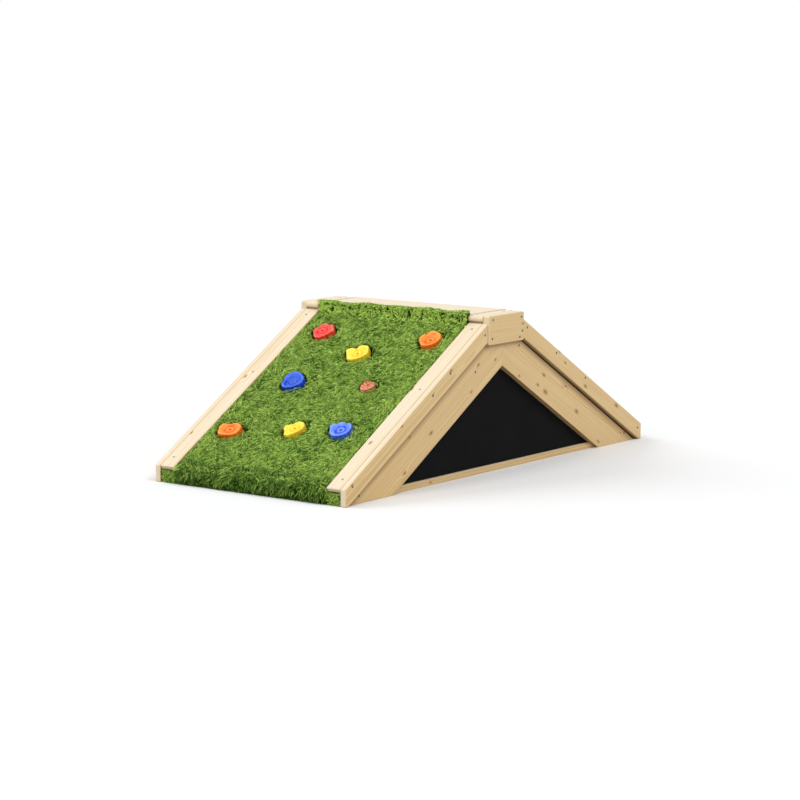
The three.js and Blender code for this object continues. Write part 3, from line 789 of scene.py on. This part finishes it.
def tuft_rows(start, end, ways, heights, half_width, stand, chance):
    """Tufts in rows down a line and right across the turf. The way in which the pile stands and
    its height change evenly from the first row to the last."""
    points = evenly(start, end, tuft_step)
    share = np.linspace(0, 1, len(points))[:, None]
    first, last = np.array(ways[0], float), np.array(ways[1], float)
    way = first + (last - first) * share
    way /= np.linalg.norm(way, axis=1)[:, None]
    height = heights[0] + (heights[1] - heights[0]) * share[:, 0]
    columns = int(2 * half_width / tuft_step)
    row, column = rows_by_columns(len(points), columns)
    stray = chance.uniform(-0.45, 0.45, len(row))
    y = -half_width + (column + 0.5 + stray) * 2 * half_width / columns
    along = chance.uniform(-0.5, 0.5, len(row)) * tuft_step
    return points[row], way[row], y, along, height[row], np.full(len(row), stand)


def nose_end_tufts(side, chance):
    """Tufts beside the nose, under the end of a cover strip and up to the rail."""
    points = evenly((nose_at, level_at(nose_at, 0.026)), (nose_at, pile_foot), tuft_step)
    width = nose_end_at - pile_half_width
    columns = 11
    row, column = rows_by_columns(len(points), columns)
    y = side * (pile_half_width + (column + chance.uniform(0, 1, len(row))) * width / columns)
    way = np.tile((1.0, -0.05), (len(row), 1))
    along = chance.uniform(-0.5, 0.5, len(row)) * tuft_step
    height = np.full(len(row), nose_end_height)
    return points[row], way, y, along, height, np.full(len(row), at_nose_end)


def tufts_on(front, chance):
    """All the tufts of one ramp: place, way of the pile, distance to the left, shift down the
    ramp, height and stand."""
    upright = (slope_sin, slope_cos)
    top = turned_up_at + 0.006 if front else tucked_in_at + 0.026
    groups = [tuft_rows(on_backing(top), on_backing(nose_at - 0.004), (upright, upright),
                        (pile_height, pile_height), pile_half_width, on_deck, chance)]
    fan = 5
    for i in range(fan):
        turn = (i + 0.5) / fan
        way = np.array(upright) * (1 - turn) + np.array((1.0, 0.0)) * turn
        groups.append(tuft_rows(
            on_backing(nose_at), on_backing(nose_at, -0.001), (way, way),
            (nose_pile_height, nose_pile_height), pile_half_width, on_nose, chance))
    groups.append(tuft_rows(
        on_backing(nose_at, -0.004), (nose_at, pile_foot), ((1, 0), (1, -0.12)),
        (0.0385, 0.0375), pile_half_width, on_nose, chance))
    for side in (-1, 1):
        groups += [nose_end_tufts(side, chance) for _ in range(2)]
    if not front:
        groups.append(tuft_rows(
            on_backing(tucked_in_at + 0.004), on_backing(tucked_in_at + 0.022), (upright, upright),
            (0.018, 0.034), pile_half_width, under_plank, chance))
        return groups
    # against the plank: the wall, its upper edge, and three rows that lean out over the plank
    wall_foot = on_backing(turned_up_at, 0.012)[1]
    walls = [(0.606, wall_foot, (1, 0.55), (1, 0.15), 0.016, 0.030),
             (0.6125, 0.6085, (0.7, 0.9), (1, 0.7), 0.013, 0.017)]
    walls += [(0.6045, 0.6035, (out, 1), (out, 1), 0.016, 0.018) for out in (0.75, 0.45, 0.2)]
    for start, end, first, last, short, tall in walls:
        groups.append(tuft_rows((turned_up_at, start), (turned_up_at, end), (first, last),
                                (short, tall), wall_pile_half_width, against_plank, chance))
    return groups


def pile(front, seed):
    """Roots and shapes of all the blades on one ramp."""
    chance = np.random.default_rng(seed)
    place, way, y, along, height, stand = (
        np.concatenate(part) for part in zip(*tufts_on(front, chance))
    )
    tangent = np.stack([-way[:, 1], way[:, 0]], axis=1)
    place = place + tangent * along[:, None] * (stand != on_nose)[:, None]
    up_slope = up_the_slope(place)
    pressed, _ = under_a_hold(front, up_slope, y, 0.008, 0.014)
    height = np.where(pressed & (stand == on_deck), height * 0.72, height)
    hidden, _ = under_a_hold(front, up_slope, y, 0.0015, 0.002)
    kept = ~(hidden & (stand == on_deck))
    place, way, tangent, y, height, stand, up_slope = (
        part[kept] for part in (place, way, tangent, y, height, stand, up_slope)
    )
    tufts = len(y)
    lie = brushed_way + waves(up_slope, y, seed + 5) * 0.55 + waves(up_slope, y, seed + 6) * 0.35
    lie = lie + chance.uniform(-0.7, 0.7, tufts)
    free = (chance.random(tufts) < unruly_share) | (y > strip_edge - 0.03)
    free |= (stand == on_nose) | (stand == against_plank)
    lie = np.where(free, chance.uniform(-np.pi, np.pi, tufts), lie)
    tone = lawn_tone + 0.10 * waves(up_slope, y, seed + 7) + chance.uniform(-0.6, 0.6, tufts)
    tilt = tuft_tilt + chance.uniform(-0.18, 0.2, tufts)

    count = tufts * blades_in_tuft
    place, way, tangent, y, height, stand, lie, tone, tilt = (
        np.repeat(part, blades_in_tuft, axis=0)
        for part in (place, way, tangent, y, height, stand, lie, tone, tilt)
    )
    nose, nose_end = stand == on_nose, stand == at_nose_end
    fringe, tucked = stand == against_plank, stand == under_plank
    turn = lie + chance.normal(0, 0.18, count)
    tilt = np.clip(tilt + chance.normal(0, 0.12, count), 0.0, 0.7)
    curl = np.clip(chance.normal(blade_curl, 0.2, count), 0.5, 1.5)
    scatter = chance.uniform(-0.5, 0.5, (count, 2)) * tuft_step * 0.6
    y = y + scatter[:, 0]
    place = place + tangent * scatter[:, 1:2] * ~nose[:, None]
    # at the foot the blades hang over a little, and none grows through the strips or rails
    lean_y = np.sin(turn)
    lean_along = np.cos(turn) - 0.3 * (nose | nose_end)
    rise = sum(span * np.cos(tilt + curl * bend) for span, bend in blade_spans)
    reach = sum(span * np.sin(tilt + curl * bend) for span, bend in blade_spans)
    length = height * chance.uniform(0.90, 1.05, count) / np.maximum(rise, 0.5)
    reach = length * reach
    edge = np.select([nose_end, fringe], [nose_end_edge, strip_edge + 0.006], strip_edge + 0.001)
    over = np.abs(y + lean_y * reach) > edge
    lean_y = np.where(over, 0.12 * -np.sign(y), lean_y)
    lean_along = np.where(over, np.where(lean_along < 0, -1.0, 1.0), lean_along)
    lean_along = np.where(tucked, np.abs(lean_along) + 0.6, lean_along)
    size = np.hypot(lean_y, lean_along)
    lean_y, lean_along = lean_y / size, lean_along / size
    # by a hold they lean away from it
    tip_up = up_the_slope(place) + lean_along * reach
    inside, away = under_a_hold(front, tip_up, y + lean_y * reach, 0.006)
    inside &= stand == on_deck
    lean_along = np.where(inside, away[:, 0], lean_along)
    lean_y = np.where(inside, away[:, 1], lean_y)

    towards = -1 if front else 1
    root = np.stack([place[:, 0] * towards, y, np.maximum(place[:, 1], 0.002)], axis=1)
    upright = np.stack([way[:, 0] * towards, np.zeros(count), way[:, 1]], axis=1)
    # the tangent points back up the ramp, so a positive lean goes up the slope
    lean = np.stack(
        [tangent[:, 0] * towards * lean_along, lean_y, tangent[:, 1] * lean_along], axis=1)
    width = chance.uniform(*blade_width, count)
    tone = tone + chance.normal(0, 1, count) * np.where(nose, 0.42, 0.27)
    # painted shade and light: on the nose the blades are darker towards the floor, beside it a
    # little darker, and against the plank painted paler
    painted_light_by_height = np.clip(place[:, 1] / foot_height, 0, 1)
    tone = np.where(nose, tone * (0.35 + 0.60 * painted_light_by_height) - 0.06 - 0.22 * (1 - painted_light_by_height), tone)
    tone = np.clip(tone - 0.05 * nose_end + 0.3 * fringe, 0, 1)
    ragged = fringe_top + 0.0035 * waves(y, y * 0.3, seed + 9)
    ragged = ragged + chance.uniform(-0.004, 0.004, count)
    ceiling = np.select([fringe, tucked], [ragged, plank_underside], open_sky)
    # painted shade deep in the pile: how far up its height each blade is painted dark, more of it
    # by the floor and in some at random; the blades against the plank are painted lit all the way
    # up
    painted_shade_draw = chance.random(count)
    painted_light_share = np.where(nose, 0.72 + 0.36 * painted_light_by_height - 0.40 * painted_shade_draw, 1.06 - 0.42 * painted_shade_draw ** 2)
    painted_light_share = np.where(fringe, 1.1, painted_light_share)
    shades = np.stack([tone, chance.uniform(0, 1, count), painted_light_share], axis=1)
    return root, upright, lean, tilt, curl, length, width, shades, ceiling


grass, grass_tree = new_finish("grass_pile")
blade = grass_tree.nodes.new("ShaderNodeAttribute")
blade.attribute_name = "blade"
blade_parts = grass_tree.nodes.new("ShaderNodeSeparateColor")
grass_tree.links.new(blade.outputs["Color"], blade_parts.inputs[0])
blade_tone, painted_light_up_blade, blade_hue = blade_parts.outputs
blade_green = blend_colours(grass_tree, blade_tone, tint(14, 100, 2), tint(222, 255, 124))
blade_green = blend_colours(
    grass_tree, reckon(grass_tree, "MULTIPLY", blade_hue, 0.3), blade_green, tint(130, 200, 44))
# painted shade deep in the pile: each blade is near black low down and green above
painted_light_up_blade = reckon(grass_tree, "MULTIPLY_ADD", painted_light_up_blade, 1.9, -0.52, held=True)
coat(grass_tree, blend_colours(grass_tree, painted_light_up_blade, tint(16, 30, 3), blade_green),
     roughness=0.6, gloss=0.12)

thatch, thatch_tree = new_finish("turf_backing")
weave = speckle(thatch_tree, place_on(thatch_tree), evenly_spread, 260, 3, 0.7)
coat(thatch_tree, blend_colours(thatch_tree, weave, tint(24, 40, 12), tint(58, 82, 30)), 0.95)

for front, end in ramps:
    backing = closed_cloth(f"turf_backing_{end}", *backing_grid(front))
    backing.data.materials.append(thatch)
    parts = pile(front, pile_seeds[end])
    order = np.random.default_rng(3).permutation(len(parts[0]))
    for number, chosen in enumerate(np.array_split(order, math.ceil(len(order) / most_blades)), 1):
        tuft = grass_blades(f"turf_pile_{end}_{number}", *(part[chosen] for part in parts))
        tuft.data.materials.append(grass)
        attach(tuft, "root")
    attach(backing, "root")
    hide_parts(f"turf_{end}")

# Climbing holds: eight moulded plastic grips in six colours, each with a lobed rim, a fluted
# side and a dished face with rings round a recess. One bolt holds each on the turf and deck.
hold_sides = 144
hold_foot = 0.028
bolt_hole = 0.00325
recess, recess_depth = 0.0065, 0.014
widest_ring, widest_shoulder = 0.013, 0.0055
flutes_round, flute_depth, flute_shift = 15, 0.0020, 400
notch_bite, notch_depth = 0.004, 0.0022
rib_height = 0.0022
moat_gap, moat_width, moat_depth = 0.0055, 0.0024, 0.0022
collar_width, collar_height, ribbed_collar_height = 0.0022, 0.0042, 0.0014
# each colour with its painted highlight on the crests and its painted shade in the hollows
hold_colours = {
    "hold_red": ((255, 104, 90), (240, 22, 4)), "hold_yellow": ((255, 242, 84), (255, 204, 0)),
    "hold_orange": ((255, 164, 50), (252, 98, 0)), "hold_dark_blue": ((58, 120, 240), (0, 44, 190)),
    "hold_coral": ((244, 164, 128), (186, 88, 48)), "hold_blue": ((122, 164, 255), (0, 64, 226)),
}
# each hold's colour, and how far its crest rises and its face is dished, in mm
hold_looks = {
    "red_flower": ("hold_red", 7, 4.5), "yellow_bean": ("hold_yellow", 6, 4.5),
    "orange_block": ("hold_orange", 9, 4.5), "blue_dish": ("hold_dark_blue", 8, 8),
    "coral_shell": ("hold_coral", 4, 2.5), "orange_wave": ("hold_orange", 6, 4.5),
    "yellow_heart": ("hold_yellow", 6, 4.5), "blue_crown": ("hold_blue", 7, 4.5),
}
# ridges and grooves on each dished face: (mm from the bolt, from and to degrees, height, width)
hold_arcs = {
    "red_flower": [(22, 10, 280, -3.2, 2.4), (32, 190, 340, -2.4, 2.2), (27, 230, 430, 1.6, 2.2)],
    "yellow_bean": [(30, 120, 250, 2.4, 3.0), (21, 330, 520, -2.2, 2.4), (36, 20, 110, -1.8, 2.6)],
    "orange_block": [(22, 90, 300, -3.4, 2.6), (30, 330, 500, 2.4, 2.6), (42, 70, 130, -2.4, 2.6)],
    "blue_dish": [(23, 200, 420, 3.0, 2.4), (33, 170, 360, -2.6, 2.4), (41, 150, 340, 1.8, 2.4)],
    "coral_shell": [],
    "orange_wave": [(24, 60, 230, -3.0, 2.6), (31, 230, 390, 1.8, 2.4), (36, 60, 150, 1.6, 2.4)],
    "yellow_heart": [(26, 120, 260, 2.4, 2.6), (19, 300, 450, -2.4, 2.2)],
    "blue_crown": [(22, 50, 270, -3.4, 2.6), (31, 190, 340, 2.0, 2.6), (36, 60, 150, 1.6, 2.6)],
}
hold_ribs = {"coral_shell": 9}


def moulded_plastic(name, crest_highlight, painted_shade):
    """Coloured plastic with a fine sand texture, with a painted highlight on the crests and
    painted shade in the hollows, grooves and fluted sides.
    """
    material, tree = new_finish(name)
    place = place_on(tree)
    cloud = speckle(tree, place, evenly_spread, 60, 3)
    painted_shade_map = tree.nodes.new("ShaderNodeAttribute")
    painted_shade_map.attribute_name = "painted_shade"
    share = reckon(tree, "MULTIPLY_ADD", cloud, 0.4,
                   reckon(tree, "SUBTRACT", painted_shade_map.outputs["Fac"], 0.2), held=True)
    coat(tree, blend_colours(tree, share, tint(*crest_highlight), tint(*painted_shade)), roughness=0.42, gloss=0.45)
    raise_pattern(tree, speckle(tree, place, evenly_spread, 1500, 2), 0.3, 0.0003)
    return material


def hold_mesh(name, rise, dish):
    """Loops from the bolt's hole under the foot, up the fluted side, over the rounded rim, across
    the dished face and the ring round the recess, and down into it. Grooves run in from the
    rim's notches."""
    line = rim_line(name, hold_sides)
    radius = np.hypot(*line.T)
    ways = line / radius[:, None]
    degrees = np.degrees(np.arctan2(ways[:, 0], -ways[:, 1])) % 360
    turns = np.radians(degrees)
    smooth = np.mean([np.roll(radius, k) for k in range(-9, 10)], axis=0)
    notch = np.clip((smooth - radius) / notch_bite, 0, 1)
    top = hold_foot + rise
    ring = min(widest_ring, 0.44 * radius.min())
    shoulder = min(widest_shoulder, 0.25 * radius.min())
    flutes = np.clip(np.cos(turns * flutes_round + rise * flute_shift), 0, 1) ** 2
    collar_rise = ribbed_collar_height if name in hold_ribs else collar_height
    loops, painted_shades = [], []

    def at(radii, heights, painted_shade=0.8):
        """Adds a loop, and how much painted shade its colour has."""
        flat = ways * (np.ones(hold_sides) * radii)[:, None]
        loops.append(np.column_stack([flat, np.ones(hold_sides) * heights]))
        painted_shades.append(np.ones(hold_sides) * painted_shade)

    def face_height(radii):
        """Height of the dished face over its crest, at a radius in each direction."""
        share = (radius - shoulder - radii) / np.maximum(radius - shoulder - ring - 0.003, 1e-4)
        fall = np.clip((share - 0.10) / 0.26, 0, 1)
        height = -dish * fall * fall * (3 - 2 * fall)
        height = height - notch * notch_depth * np.clip(1 - share * 1.6, 0, 1)
        for reach, start, stop, lift, width in hold_arcs[name]:
            across = np.exp(-(((radii * 1000 - reach) / width) ** 2))
            turn = (degrees - start) % 360
            span = stop - start
            along = np.clip(turn / 25, 0, 1) * np.clip((span - turn) / 25, 0, 1) * (turn < span)
            height = height + 1.25 * lift / 1000 * across * along * np.clip(share * 6, 0, 1)
        if name in hold_ribs:
            wave = np.cos(turns * hold_ribs[name])
            fade = np.clip(share * 4, 0, 1) * np.clip((1 - share) * 5, 0, 1)
            height = height + rib_height * wave * fade
        collar = np.exp(-(((radii - ring) / collar_width) ** 2)) * collar_rise
        moat = np.exp(-(((radii - ring - moat_gap) / moat_width) ** 2)) * moat_depth
        inside = np.clip((ring - radii) / 0.002, 0, 1) * 0.0014
        return height - moat * np.clip(share * 6, 0, 1) + np.maximum(collar, inside)

    # painted shade of each loop: strong under the foot and in the recess, deep on the fluted side
    # and deepest in its flutes, fading up over the shoulder, and on the face darker as it dips, in
    # the grooves, by the notches and between ribs
    at(bolt_hole, 0.0)
    at(radius - 0.0032, 0.0)
    at(radius - 0.0008, 0.0012)
    for share in (0.15, 0.35, 0.55, 0.75, 0.9):
        bulge = 0.0007 * math.sin(math.pi * share)
        at(radius + bulge - flute_depth * flutes * min(1, 3 * share), share * (top - shoulder),
           0.6 + 0.4 * flutes)
    for share in (0.0, 0.2, 0.4, 0.6, 0.8):
        turn = share * math.pi / 2
        at(radius - shoulder * (1 - math.cos(turn)) - flute_depth * flutes * (1 - share),
           top - shoulder * (1 - math.sin(turn)) - notch * notch_depth * share,
           0.8 * (1 - share) ** 0.7)
    for share in np.arange(31) / 30:
        radii = (radius - shoulder) * (1 - share) + (recess + 0.0006) * share
        height = face_height(radii)
        groove = np.clip((-height - 0.8 * dish) / 0.0025, 0, 1)
        painted_shade = 0.28 * np.clip(-height / dish, 0, 1) + 0.6 * groove + notch * 0.3
        if name in hold_ribs:
            painted_shade = np.clip(0.5 - 0.75 * np.cos(turns * hold_ribs[name]), 0, 1)
        at(radii, top + height, painted_shade)
    at(recess, top - dish + 0.0008)
    at(recess, top - recess_depth + 0.0005)
    at(recess - 0.0006, top - recess_depth)
    at(bolt_hole, top - recess_depth)
    faces = []
    for loop in range(len(loops)):
        start, after = loop * hold_sides, (loop + 1) % len(loops) * hold_sides
        for i in range(hold_sides):
            j = (i + 1) % hold_sides
            faces.append((start + i, start + j, after + j, after + i))
    return np.vstack(loops), faces, np.clip(np.concatenate(painted_shades), 0, 1)


hold_plastics = {slot: moulded_plastic(slot, *colours) for slot, colours in hold_colours.items()}
hold_axes = Matrix((up_ramp[True], across_bridge, out_of_ramp[True])).transposed()
for name, (slot, rise, dish) in hold_looks.items():
    vertices, faces, painted_shades = hold_mesh(name, rise / 1000, dish / 1000)
    up, left = hold_places[name]
    origin = foot[True] + up_ramp[True] * up + Vector((0, left, 0)) - out_of_ramp[True] * hold_foot
    mesh = bpy.data.meshes.new(f"moulded_{name}")
    mesh.from_pydata([origin + hold_axes @ Vector(v) for v in vertices.tolist()], [], faces)
    mesh.attributes.new("painted_shade", "FLOAT", "POINT").data.foreach_set("value", painted_shades)
    close_up(mesh)
    mesh.shade_smooth()
    mesh.materials.append(hold_plastics[slot])
    hold = set_down(f"moulded_{name}", mesh)
    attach(hold, "root")
    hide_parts(f"hold_{name}")

# Bolts: a zinc-plated steel screw through each hold, the turf and the deck, into a T-nut that
# is knocked into the deck from below.
plated, plated_tree = new_finish("zinc_plate")
plated_cloud = speckle(plated_tree, place_on(plated_tree), evenly_spread, 400, 3)
# painted reflection: upward faces are painted pale blue-grey; other faces keep the dull zinc
# colour, made darker as painted shade of the countersinks and recesses
plated_painted_light = reckon(plated_tree, "MULTIPLY_ADD", facing(plated_tree)["Z"], 1.6, -0.7, held=True)
plated_dull_and_shade = blend_colours(plated_tree, plated_cloud, tint(44, 56, 72), tint(88, 101, 120))
coat(plated_tree, blend_colours(plated_tree, plated_painted_light, plated_dull_and_shade, tint(176, 184, 198)),
     roughness=0.38, metal=1)
for node in nodes:
    if node.startswith("bolt_"):
        cover(node, plated)

# Wood screws: small flat zinc-plated heads with a cross recess, driven level with the wood.
# They hold the cheek plates, the rails, the rafters, the caps and the cover strips.
screw_sides = 24
# loops up the head, as (radius, height), and into the cross, as (radius in an arm, between the
# arms, height)
head_loops = [(0.0026, -0.0034), (0.0043, -0.0013), (0.0047, 0.0001), (0.0045, 0.0004),
              (0.0034, 0.0005)]
cross_loops = [(0.0024, 0.0009, 0.0005), (0.0021, 0.0007, -0.0012)]
cross_floor = -0.0016
rail_screws = [(-0.137, 0.537), (-0.362, 0.415), (-0.472, 0.343), (-0.959, 0.071),
               (0.148, 0.541), (0.356, 0.421), (0.569, 0.300), (0.972, 0.049)]
cheek_screws = [(-0.092, 0.591), (-0.096, 0.519), (0.100, 0.587), (0.090, 0.510), (0.107, 0.533)]
rafter_screws = [(-0.903, 0.028), (0.113, 0.473), (-0.180, 0.400), (0.890, 0.036)]
cap_screws = [(0.062, 0.399), (0.105, 0.403), (-0.100, 0.385)]
strip_screws = [0.980, 0.596, 0.055]
strip_screws_left = 0.400


def screw_heads(name, places):
    """One group of heads; each place is a point on the wood and the way the head faces."""
    angles = [2 * math.pi * i / screw_sides for i in range(screw_sides)]
    in_arm = [i % 6 in (0, 1, 5) for i in range(screw_sides)]
    loops = [[point] * screw_sides for point in head_loops]
    loops += [[(arm if a else between, height) for a in in_arm]
              for arm, between, height in cross_loops]
    vertices, faces = [], []
    for number, (point, way) in enumerate(places):
        point, way = Vector(point), Vector(way).normalized()
        turned = way.to_track_quat("Z", "Y").to_matrix() @ Matrix.Rotation(0.9 * number, 3, "Z")
        start = len(vertices)
        last = start + (len(loops) - 1) * screw_sides
        for loop in loops:
            for angle, (radius, height) in zip(angles, loop):
                local = Vector((radius * math.cos(angle), radius * math.sin(angle), height))
                vertices.append(point + turned @ local)
        for ring in range(start, last, screw_sides):
            for i in range(screw_sides):
                j = (i + 1) % screw_sides
                faces.append((ring + i, ring + j, ring + screw_sides + j, ring + screw_sides + i))
        faces.append(tuple(start + i for i in reversed(range(screw_sides))))
        vertices.append(point + turned @ Vector((0, 0, cross_floor)))
        faces += [(last + i, last + (i + 1) % screw_sides, len(vertices) - 1)
                  for i in range(screw_sides)]
    mesh = bpy.data.meshes.new(name)
    mesh.from_pydata(vertices, [], faces)
    mesh.materials.append(plated)
    heads = set_down(name, mesh)
    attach(heads, "root")


for group, outside, places in (("cheek_plates", cheek_outside, cheek_screws),
                               ("rails", rail_outside, rail_screws),
                               ("rafters", rafter_outside, rafter_screws)):
    screw_heads(f"screws_{group}", [
        ((x, s * outside, z), (0, s, 0)) for s in (-1, 1) for x, z in places
    ])
screw_heads("screws_platform", [
    ((x, s * y, platform_top), upwards) for s in (-1, 1) for x, y in cap_screws
])
screw_heads("screws_cover_strips", [
    (foot[front] + up_ramp[front] * up + Vector((0, s * strip_screws_left, 0)), out_of_ramp[front])
    for front in (True, False) for s in (-1, 1) for up in strip_screws
])
